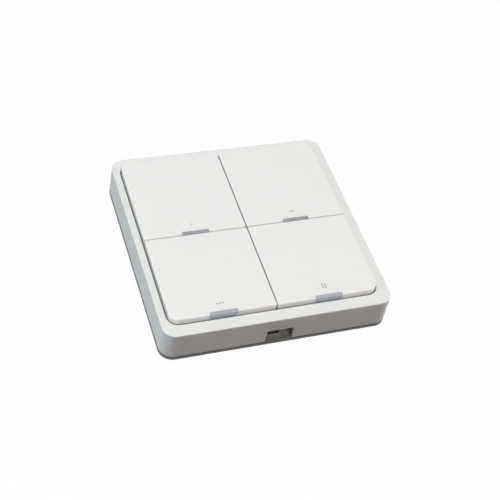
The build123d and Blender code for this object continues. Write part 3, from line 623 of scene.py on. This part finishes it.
def milky_window(name, tone):
    """Milky light guide, with painted light at its front just below the top face and painted shade towards
    its foot.
    """
    cloud_waves, cloud_swing = 700.0, 0.10
    finer_grain, grain_low, grain_high, relief_share = 1.4, 0.3, 0.7, 0.4
    smooth, matt = 0.22, 0.34
    acrylic_ior, coat, coat_rough = 1.49, 0.3, 0.15
    finish = finish_of()
    material, tree, shader = start_material(name)
    place, height = tree.place(), tree.split_place()["Z"]
    top = high("light_window_1")[2]
    skin, top_end = top - finish.window_skin, top - finish.window_skin * TOP_SHARE
    rise = tree.spread(height, top - finish.window_fall, top - finish.window_start)
    cloud = tree.swing(tree.noise(place, cloud_waves, detail=3.0))
    cloudy = tree.math("MULTIPLY_ADD", cloud, cloud_swing, rise)
    # Painted light at the front's bright edge, going over into painted shade at the foot.
    front = tree.mix(cloudy, finish.window_foot_painted_shade, finish.window_edge_painted_light)
    over = tree.spread(height, skin, top_end)
    # tone scales the whole colour; below one it is painted shade, as for the upper row.
    tree.link(tree.scaled(tree.mix(over, front, finish.window), tone), shader.inputs["Base Color"])
    grain = tree.noise(place, finer_grain / finish.grain, detail=1.0)
    tree.link(tree.spread(grain, grain_low, grain_high, smooth, matt), shader.inputs["Roughness"])
    add_relief(tree, shader, grain, finish.grain_depth * relief_share)
    shader.inputs["IOR"].default_value = acrylic_ior
    shader.inputs["Coat Weight"].default_value = coat
    shader.inputs["Coat Roughness"].default_value = coat_rough
    return material


def board_lacquer():
    """Solder resist over copper tracks and glass weave.

    The tracks are the joints of a brick pattern, seen through the lacquer where slow noise is high.
    They stand out as relief, and so does the weave, a wave pattern, but less.
    """
    joints = {
        "Scale": 170.0,
        "Mortar Size": 0.03,
        "Mortar Smooth": 0.1,
        "Bias": 0.0,
        "Brick Width": 0.9,
        "Row Height": 0.34,
    }
    area_waves, area_start, area_full = 90.0, 0.47, 0.50
    drift_waves, drift_low, drift_swing = 55.0, 0.92, 0.16
    weave_waves, weave_wander, weave_share, track_height = 700.0, 1.2, 0.15, 0.00002
    smooth, matt, coat = 0.24, 0.32, 0.25
    finish = finish_of()
    material, tree, shader = start_material("board")
    place = tree.place()
    bricks = tree.add("ShaderNodeTexBrick", offset=0.5, squash=1.6, squash_frequency=3)
    tree.link(place, bricks.inputs["Vector"])
    for label, value in joints.items():
        bricks.inputs[label].default_value = value
    areas = tree.spread(tree.noise(place, area_waves, detail=0.0), area_start, area_full)
    tracks = tree.math("MULTIPLY", bricks.outputs["Fac"], areas)
    drift = tree.math("MULTIPLY_ADD", tree.noise(place, drift_waves), drift_swing, drift_low)
    tinted = tree.mix(tracks, finish.resist, finish.copper)
    tree.link(tree.scaled(tinted, drift), shader.inputs["Base Color"])
    weave = tree.add("ShaderNodeTexWave", wave_type="BANDS", bands_direction="DIAGONAL")
    tree.link(place, weave.inputs["Vector"])
    weave.inputs["Scale"].default_value = weave_waves
    weave.inputs["Distortion"].default_value = weave_wander
    tree.link(tree.spread(weave.outputs["Fac"], 0.0, 1.0, smooth, matt), shader.inputs["Roughness"])
    relief = tree.math("MULTIPLY_ADD", weave.outputs["Fac"], weave_share, tracks)
    add_relief(tree, shader, relief, track_height)
    shader.inputs["Coat Weight"].default_value = coat
    return material


# Finishes by their slot's name, made by the first operator
MATERIALS = {}


def material_for(slot_name):
    """Finish of one slot; the finishes are made before any piece is dressed or added."""
    if slot_name not in MATERIALS:
        raise RuntimeError(f"The finish {slot_name} has not been made yet")
    return MATERIALS[slot_name]


def dress(nodes, slot_name):
    """Gives carried-over solids the finish of one slot."""
    missing = [node for node in nodes if node not in NODES]
    if missing:
        raise RuntimeError(f"The frame holds no solid named {', '.join(missing)}")
    for node in nodes:
        mesh = NODES[node].data
        mesh.materials.clear()
        mesh.materials.append(material_for(slot_name))


class SWITCH_OT_finishes(bpy.types.Operator):
    """Builds the shared effects and every finish"""

    bl_idname = "switch.finishes"
    bl_label = "Make the finishes"

    def execute(self, context):
        finish = finish_of()
        moulded_grain()
        metal_grain()
        pressed = (low("button_3")[1], high("button_3")[1])
        MATERIALS.update(
            white_plastic=plastic("white_plastic", finish.white, rough=0.46, drift=0.022, milky=True),
            # The buttons take painted shade in their joints, and painted light and shade on the lower row's
            # front faces.
            button_plastic=plastic(
                "button_plastic", finish.button, rough=0.44, polish=pressed, milky=True, joints=True
            ),
            inner_plastic=plastic("inner_plastic", finish.chassis, rough=0.5, drift=0.05),
            grey_plastic=plastic("grey_plastic", finish.base, rough=0.55, grain_share=0.8, drift=0.08),
            light_plastic=milky_window("light_plastic", tone=1.0),
            # The upper row's windows: the same light guide darkened as painted shade.
            light_plastic_back=milky_window("light_plastic_back", tone=finish.back_window_painted_shade),
            board=board_lacquer(),
            steel=metal("steel", finish.steel, rough=0.32, tarnish=0.18, lines=4000.0),
            cell_steel=metal("cell_steel", finish.can, rough=0.22, tarnish=0.1, lines=6000.0),
            contact_metal=metal("contact_metal", finish.spring, rough=0.3, tarnish=0.2, lines=8000.0),
            shield=metal("shield", finish.tin, rough=0.36, tarnish=0.25, lines=5000.0),
            solder=metal("solder", finish.solder, rough=0.28, tarnish=0.3, lines=1500.0),
            ceramic=plastic("ceramic", finish.ceramic, rough=0.6, grain_share=1.6, drift=0.1),
            black_plastic=plastic("black_plastic", finish.black, rough=0.48, grain_share=1.2, drift=0.25),
            lamp=plastic("lamp", finish.lamp, rough=0.18, grain_share=0.6, drift=0.05, coat=0.6),
            mark_paint=plastic("mark_paint", finish.paint, rough=0.4, grain_share=2.0, drift=0.1),
        )
        return {"FINISHED"}


class SWITCH_OT_housing(bpy.types.Operator):
    """Dresses the buttons, the light windows and the wall plate"""

    bl_idname = "switch.housing"
    bl_label = "Dress the housing"

    def execute(self, context):
        dress([f"button_{n}" for n in BUTTONS], "button_plastic")
        # The upper row's windows take the darkened copy, which is painted shade.
        dress(["light_window_1", "light_window_2"], "light_plastic_back")
        dress(["light_window_3", "light_window_4"], "light_plastic")
        dress(["wall_plate"], "grey_plastic")
        return {"FINISHED"}


def outline_distance(from_middle, half, corner):
    """How far points lie outside a square with round corners, and the way out of it.

    half is half the square's side and corner the radius of its corners. Past both sides' straight
    stretches it is the distance to the corner's centre less the radius, and the way out leads from
    that centre. Elsewhere it is the distance past the nearer side, and the way out is square to it.
    """
    beyond = np.abs(from_middle) - half + corner
    side = beyond.max(axis=1)
    at_corner = beyond.min(axis=1) > 0
    reach = np.where(at_corner, np.linalg.norm(np.maximum(beyond, 0), axis=1), side)
    way = np.where(at_corner[:, None], beyond, beyond == side[:, None])
    way = way / np.linalg.norm(way, axis=1, keepdims=True) * np.sign(from_middle)
    return reach - corner, way


class SWITCH_OT_frame_shell(bpy.types.Operator):
    """Frame with the crisp edge and drafted walls of the photograph, in the place of its plainer solid"""

    bl_idname = "switch.frame_shell"
    bl_label = "Make the frame"

    def execute(self, context):
        sizes = frame_of()
        points, faces, normals = merged_solid("frame")
        least, most = low("frame"), high("frame")
        middle, half = (least + most)[:2] / 2, (most - least)[:2] / 2
        outside, outwards = outline_distance(points[:, :2] - middle, half, sizes.corner)
        # The edge is a quarter round, (across, rise) = R (sin a, cos a). It is tightened to
        # (R - r) + r (sin a, cos a), so that each point keeps its normal.
        wide, tight = sizes.solid_round, sizes.crisp_round
        across = outside + wide
        rise = points[:, 2] - most[2] + wide
        # A point belongs to the round or to a wall if it lies this near to it.
        slack = 0.01
        near = slack * wide
        edge = (across > -near) & (rise > -near) & (np.abs(np.hypot(across, rise) - wide) < near)
        if not edge.any():
            raise RuntimeError("The frame's outer edge wasn't found at its radius")
        points[edge, :2] += (wide - tight) * (1 - across[edge, None] / wide) * outwards[edge]
        points[edge, 2] += (wide - tight) * (1 - rise[edge] / wide)
        # Draft: the walls lean in by an even slope from the heel up.
        skin = edge | (outside > -near)
        foot = least[2] + sizes.heel_height
        climb = np.clip((points[skin, 2] - foot) / (most[2] - foot), 0, 1)
        points[skin, :2] -= sizes.wall_lean * climb[:, None] * outwards[skin]
        plastic_white = material_for("white_plastic")
        shell = build("frame_shell", [(points, faces)], plastic_white, "front")
        shell.data.normals_split_custom_set(normals.reshape(-1, 3).tolist())
        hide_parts("frame")
        return {"FINISHED"}


class SWITCH_OT_inside(bpy.types.Operator):
    """Dresses the carrier, the circuit board and what is on it"""

    bl_idname = "switch.inside"
    bl_label = "Dress the inside"

    def execute(self, context):
        dress(["carrier"] + [f"plunger_{n}" for n in BUTTONS], "inner_plastic")
        dress(["circuit_board"], "board")
        dress(["board_screws"], "steel")
        dress(["coin_cell"], "cell_steel")
        dress(["battery_contact_minus", "battery_contact_plus"], "contact_metal")
        dress(["radio_module"], "shield")
        dress(["chip_antenna"], "ceramic")
        dress(["battery_holder", "board_components"] + [f"tact_switch_{n}" for n in BUTTONS], "black_plastic")
        dress([f"led_{n}" for n in BUTTONS], "lamp")
        return {"FINISHED"}


class SWITCH_OT_mark_fills(bpy.types.Operator):
    """Paint fill in the round marks: one, two or three in a row, and four in a square"""

    bl_idname = "switch.mark_fills"
    bl_label = "Fill the button marks"

    def execute(self, context):
        marks = marks_of()
        steps, around = 7, 20
        # Paint meniscus: height grows with the square of the radius up to the wall of the recess.
        share_out = np.linspace(0.0, 1.0, steps)
        profile = np.c_[share_out * marks.dot_radius, marks.dot_fill * share_out**2]
        for number in BUTTONS:
            least, most = low(f"button_{number}"), high(f"button_{number}")
            columns, rows = (2, 2) if number == 4 else (number, 1)
            middle = (least[0] + most[0]) / 2 - marks.dot_shift
            floor = most[2] - marks.dot_depth + marks.dot_seat
            parts = []
            for row in range(rows):
                for column in range(columns):
                    x = middle + (column - (columns - 1) / 2) * marks.dot_pitch
                    y = least[1] + marks.dot_from_edge + row * marks.dot_pitch
                    parts.append(lathe(profile, (x, y, floor), around))
            body = f"button_{number}"
            build(f"mark_fill_{number}", parts, material_for("mark_paint"), body)
        return {"FINISHED"}


class SWITCH_OT_solder(bpy.types.Operator):
    """Solder cones at the battery contacts and fillets along the radio's two long sides"""

    bl_idname = "switch.solder"
    bl_label = "Add the solder"

    def execute(self, context):
        marks = marks_of()
        steps, around, fillet_around = 9, 24, 12
        board = low("circuit_board")[2]
        # Solder cone: height = full height (1 - r / R)^2, so that it ends level at its foot.
        share_out = np.linspace(0.0, 1.0, steps)
        cone = np.c_[share_out * marks.solder_radius, marks.solder_height * (1 - share_out) ** 2]
        minus_low, minus_high = low("battery_contact_minus"), high("battery_contact_minus")
        plus_high = high("battery_contact_plus")
        minus_spot = (minus_low[0] + marks.minus_in, minus_high[1] - marks.minus_down)
        plus_spot = (plus_high[0] - marks.plus_in, plus_high[1] - marks.plus_down)
        under = low("battery_contact_minus")[2]
        parts = [lathe(cone, (x, y, under), around, up=-1.0) for x, y in (minus_spot, plus_spot)]
        # Fillets: the same curve with a smaller foot and a little lower, one at each pad of the module.
        foot_share, height_share = 0.42, 0.75
        fillet = cone * (foot_share, height_share)
        # The row of pads keeps at least these shares of a pitch from the module's two ends.
        lower_share, upper_share, pitch = 0.8, 0.4, marks.fillet_pitch
        least, most = low("radio_module"), high("radio_module")
        for y in np.arange(least[1] + lower_share * pitch, most[1] - upper_share * pitch, pitch):
            parts.append(lathe(fillet, (least[0], y, board), fillet_around, up=-1.0))
            parts.append(lathe(fillet, (most[0], y, board), fillet_around, up=-1.0))
        build("solder_joints", parts, material_for("solder"), "front")
        return {"FINISHED"}


class SWITCH_OT_controller_pins(bpy.types.Operator):
    """Gull-wing pins on the four sides of the controller chip"""

    bl_idname = "switch.controller_pins"
    bl_label = "Add the controller pins"

    def execute(self, context):
        marks = marks_of()
        points = np.array([v.co for v in NODES["board_components"].data.vertices])
        body = points[points[:, 0] < marks.chip_side]
        if not len(body):
            raise RuntimeError("The controller chip wasn't found among the board's components")
        least, most = body.min(0), body.max(0)
        middle, half, board = (least + most) / 2, (most[0] - least[0]) / 2, most[2]
        # Pin path: a smooth step from the chip's side up to the board it hangs under. Below the board
        # it lies at foot + (drop - foot) (1 - smooth(t)), smooth(t) = 3 t^2 - 2 t^3 from bend to
        # unbend. The share of it before root is inside the chip.
        root, bend, unbend, steps = 0.13, 0.28, 0.68, 15
        t = np.linspace(0.0, 1.0, steps)
        step = np.clip((t - bend) / (unbend - bend), 0, 1)
        foot = marks.pin_thickness / 2
        drop = (marks.pin_drop - foot) * (1 - (3 * step**2 - 2 * step**3)) + foot
        path = np.c_[half + marks.pin_reach * (t - root), -drop]
        parts = []
        for quarter in range(4):
            angle = quarter * math.pi / 2
            side = np.array([-math.sin(angle), math.cos(angle), 0.0])
            for place in (np.arange(marks.pin_count) - (marks.pin_count - 1) / 2) * marks.pin_pitch:
                centre = np.array([middle[0], middle[1], board]) + side * place
                parts.append(strip_along(path, marks.pin_width, marks.pin_thickness, centre, angle))
        build("controller_pins", parts, material_for("solder"), "front", smooth=False)
        return {"FINISHED"}


class SWITCH_OT_moulding_traces(bpy.types.Operator):
    """Round traces of the mould's ejector pins on the wall plate's floor and the cell's polarity sign"""

    bl_idname = "switch.moulding_traces"
    bl_label = "Add the moulding traces"

    def execute(self, context):
        marks = marks_of()
        # Ejector trace: a flat disc with a broken rim that ends under the floor. The profile's points
        # are shares of its radius and of its height.
        around = 32
        rim = np.array([(0.0, 1.0), (0.9, 1.0), (0.97, 0.75), (1.0, -1.25)])
        profile = rim * (marks.ejector_radius, marks.ejector_height)
        near, far = marks.ejector_near, marks.ejector_far
        spots = [(x, y) for x in (-near, near) for y in (-far, -near, near, far)]
        parts = [lathe(profile, (x, y, marks.plate_floor), around) for x, y in spots]
        build("ejector_traces", parts, material_for("grey_plastic"), "wall_plate")
        # Plus sign pressed up from the can: two bars whose height is flat in the middle, falls with
        # the sixth power of the distance from it and ends just under the can's face.
        crown, power, sunk = 1.15, 6, 0.2
        cell = (low("coin_cell") + high("coin_cell")) / 2
        under = low("coin_cell")[2]
        steps_across, steps_along = 9, 25
        across, along = np.linspace(-1, 1, steps_across), np.linspace(-1, 1, steps_along)
        u, v = np.meshgrid(across, along, indexing="ij")
        fall = np.maximum(np.abs(u), np.abs(v)) ** power
        dome = marks.sign_height * (np.clip(crown - fall, 0, 1) - sunk)
        long, short = marks.sign_length, marks.sign_width
        bars = []
        for x, y in ((u * short, v * long), (v * long, -u * short)):
            points = np.stack([cell[0] + x, cell[1] - marks.sign_offset + y, under - dome], -1).reshape(-1, 3)
            bars.append((points, grid_faces(steps_across, steps_along)))
        build("cell_sign", bars, material_for("cell_steel"), "front")
        return {"FINISHED"}


class SWITCH_OT_stage(bpy.types.Operator):
    """Pale floor, soft lamps and the camera of the photograph"""

    bl_idname = "switch.stage"
    bl_label = "Set the stage"

    def execute(self, context):
        stage = stage_of()
        scene = context.scene
        scene.view_settings.view_transform = "Standard"
        self.lay_floor(stage)
        self.light_sky(scene)
        front, left, right, back = -90.0, 180.0, 0.0, 90.0
        self.hang_lamp(stage, "front_lamp", front, stage.high_angle, stage.front_lamp, stage.front_tint)
        self.hang_lamp(stage, "over_lamp", left, stage.high_angle, stage.over_lamp, stage.over_tint)
        self.hang_lamp(stage, "left_lamp", left, stage.low_angle, stage.left_lamp, stage.left_tint)
        self.hang_lamp(stage, "right_lamp", right, stage.low_angle, stage.right_lamp, stage.right_tint)
        self.hang_lamp(stage, "back_lamp", back, stage.low_angle, stage.back_lamp, stage.back_tint)
        data = bpy.data.cameras.new("camera")
        data.sensor_width = SENSOR_WIDTH
        data.lens = stage.lens
        data.clip_start = 10 * MM
        camera = bpy.data.objects.new("camera", data)
        camera.location = (stage.camera_x, stage.camera_y, stage.camera_z)
        camera.rotation_euler = [math.radians(a) for a in (stage.turn_x, stage.turn_y, stage.turn_z)]
        scene.collection.objects.link(camera)
        scene.camera = camera
        return {"FINISHED"}

    def lay_floor(self, stage):
        """Level square just below the wall face, white to the camera and pale grey to the light."""
        drop, lines = 0.00002, 3
        cloud_waves, tone_swing, matt = 3.0, 0.03, 0.9
        side = np.linspace(-stage.floor_size / 2, stage.floor_size / 2, lines)
        x, y = np.meshgrid(side, side)
        points = np.stack([x, y, np.full_like(x, -drop)], -1).reshape(-1, 3)
        mesh = bpy.data.meshes.new("floor")
        mesh.from_pydata(points.tolist(), [], grid_faces(lines, lines).tolist())
        material, tree, shader = start_material("floor")
        nodes = material.node_tree.nodes
        cloud = tree.noise(tree.place(), cloud_waves)
        least, most = stage.floor_tone * (1 - tone_swing), stage.floor_tone * (1 + tone_swing)
        drift = tree.spread(cloud, 0.0, 1.0, least, most)
        tree.link(tree.mix(drift, (0, 0, 0), (1, 1, 1)), shader.inputs["Base Color"])
        shader.inputs["Roughness"].default_value = matt
        shader.inputs["Specular IOR Level"].default_value = 0.0
        # The camera and reflections see white with a share of the shadow.
        white = tree.add("ShaderNodeEmission")
        white.inputs["Strength"].default_value = 1.0
        pale = tree.add("ShaderNodeBsdfDiffuse")
        pale.inputs["Color"].default_value = (1.0, 1.0, 1.0, 1.0)
        seen = tree.add("ShaderNodeMixShader")
        seen.inputs[0].default_value = stage.shadow_share
        tree.link(white.outputs[0], seen.inputs[1])
        tree.link(pale.outputs[0], seen.inputs[2])
        path = tree.add("ShaderNodeLightPath")
        direct = tree.math("MAXIMUM", path.outputs["Is Camera Ray"], path.outputs["Is Glossy Ray"])
        direct = tree.math("MAXIMUM", direct, path.outputs["Is Transmission Ray"])
        choose = tree.add("ShaderNodeMixShader")
        tree.link(direct, choose.inputs[0])
        tree.link(shader.outputs[0], choose.inputs[1])
        tree.link(seen.outputs[0], choose.inputs[2])
        tree.link(choose.outputs[0], nodes["Material Output"].inputs[0])
        mesh.materials.append(material)
        floor = bpy.data.objects.new("floor", mesh)
        bpy.context.scene.collection.objects.link(floor)

    def light_sky(self, scene):
        """Sky that is white to the camera and in reflections and gives no light of its own."""
        world = bpy.data.worlds.new("sky")
        scene.world = world
        world.use_nodes = True
        tree = Tree(world.node_tree)
        back = world.node_tree.nodes["Background"]
        back.inputs[0].default_value = (1.0, 1.0, 1.0, 1.0)
        path = tree.add("ShaderNodeLightPath")
        seen = tree.math("MAXIMUM", path.outputs["Is Camera Ray"], path.outputs["Is Glossy Ray"])
        tree.link(tree.math("MAXIMUM", seen, path.outputs["Is Transmission Ray"]), back.inputs[1])

    def hang_lamp(self, stage, name, heading, height, power, tint):
        """Square soft lamp at a heading and a height in degrees, turned to the middle of the object."""
        data = bpy.data.lights.new(name, "AREA")
        data.shape = "SQUARE"
        data.size = stage.lamp_side
        data.energy = power
        data.color = tint
        lamp = bpy.data.objects.new(name, data)
        across, up = math.radians(heading), math.radians(height)
        away = np.array([math.cos(up) * math.cos(across), math.cos(up) * math.sin(across), math.sin(up)])
        lamp.location = away * stage.lamp_reach
        lamp.rotation_euler = (math.pi / 2 - up, 0.0, across + math.pi / 2)
        lamp.visible_glossy = False
        bpy.context.scene.collection.objects.link(lamp)


STEPS = (
    SWITCH_OT_finishes,
    SWITCH_OT_housing,
    SWITCH_OT_frame_shell,
    SWITCH_OT_inside,
    SWITCH_OT_mark_fills,
    SWITCH_OT_solder,
    SWITCH_OT_controller_pins,
    SWITCH_OT_moulding_traces,
    SWITCH_OT_stage,
)


class SWITCH_PT_panel(bpy.types.Panel):
    """Steps and sizes of the light switch"""

    bl_idname = "SWITCH_PT_panel"
    bl_label = "Light switch"
    bl_space_type = "VIEW_3D"
    bl_region_type = "UI"
    bl_category = "Light switch"

    def draw(self, context):
        column = self.layout.column(align=True)
        for step in STEPS:
            column.operator(step.bl_idname)
        for group in (finish_of(), frame_of(), marks_of(), stage_of()):
            box = self.layout.box()
            for key in group.__annotations__:
                box.prop(group, key)


GROUPS = {
    "switch_finish": SwitchFinish,
    "switch_frame": SwitchFrame,
    "switch_marks": SwitchMarks,
    "switch_stage": SwitchStage,
}


def register():
    for group in GROUPS.values():
        bpy.utils.register_class(group)
    for name, group in GROUPS.items():
        setattr(bpy.types.Scene, name, bpy.props.PointerProperty(type=group))
    for step in STEPS:
        bpy.utils.register_class(step)
    bpy.utils.register_class(SWITCH_PT_panel)


def unregister():
    bpy.utils.unregister_class(SWITCH_PT_panel)
    for step in reversed(STEPS):
        bpy.utils.unregister_class(step)
    for name in GROUPS:
        delattr(bpy.types.Scene, name)
    for group in reversed(list(GROUPS.values())):
        bpy.utils.unregister_class(group)


def main():
    """Registers everything, takes each step in order and notes the two boxes."""
    register()
    bpy.ops.switch.finishes()
    bpy.ops.switch.housing()
    bpy.ops.switch.frame_shell()
    bpy.ops.switch.inside()
    bpy.ops.switch.mark_fills()
    bpy.ops.switch.solder()
    bpy.ops.switch.controller_pins()
    bpy.ops.switch.moulding_traces()
    bpy.ops.switch.stage()


if __name__ == "__main__":
    main()
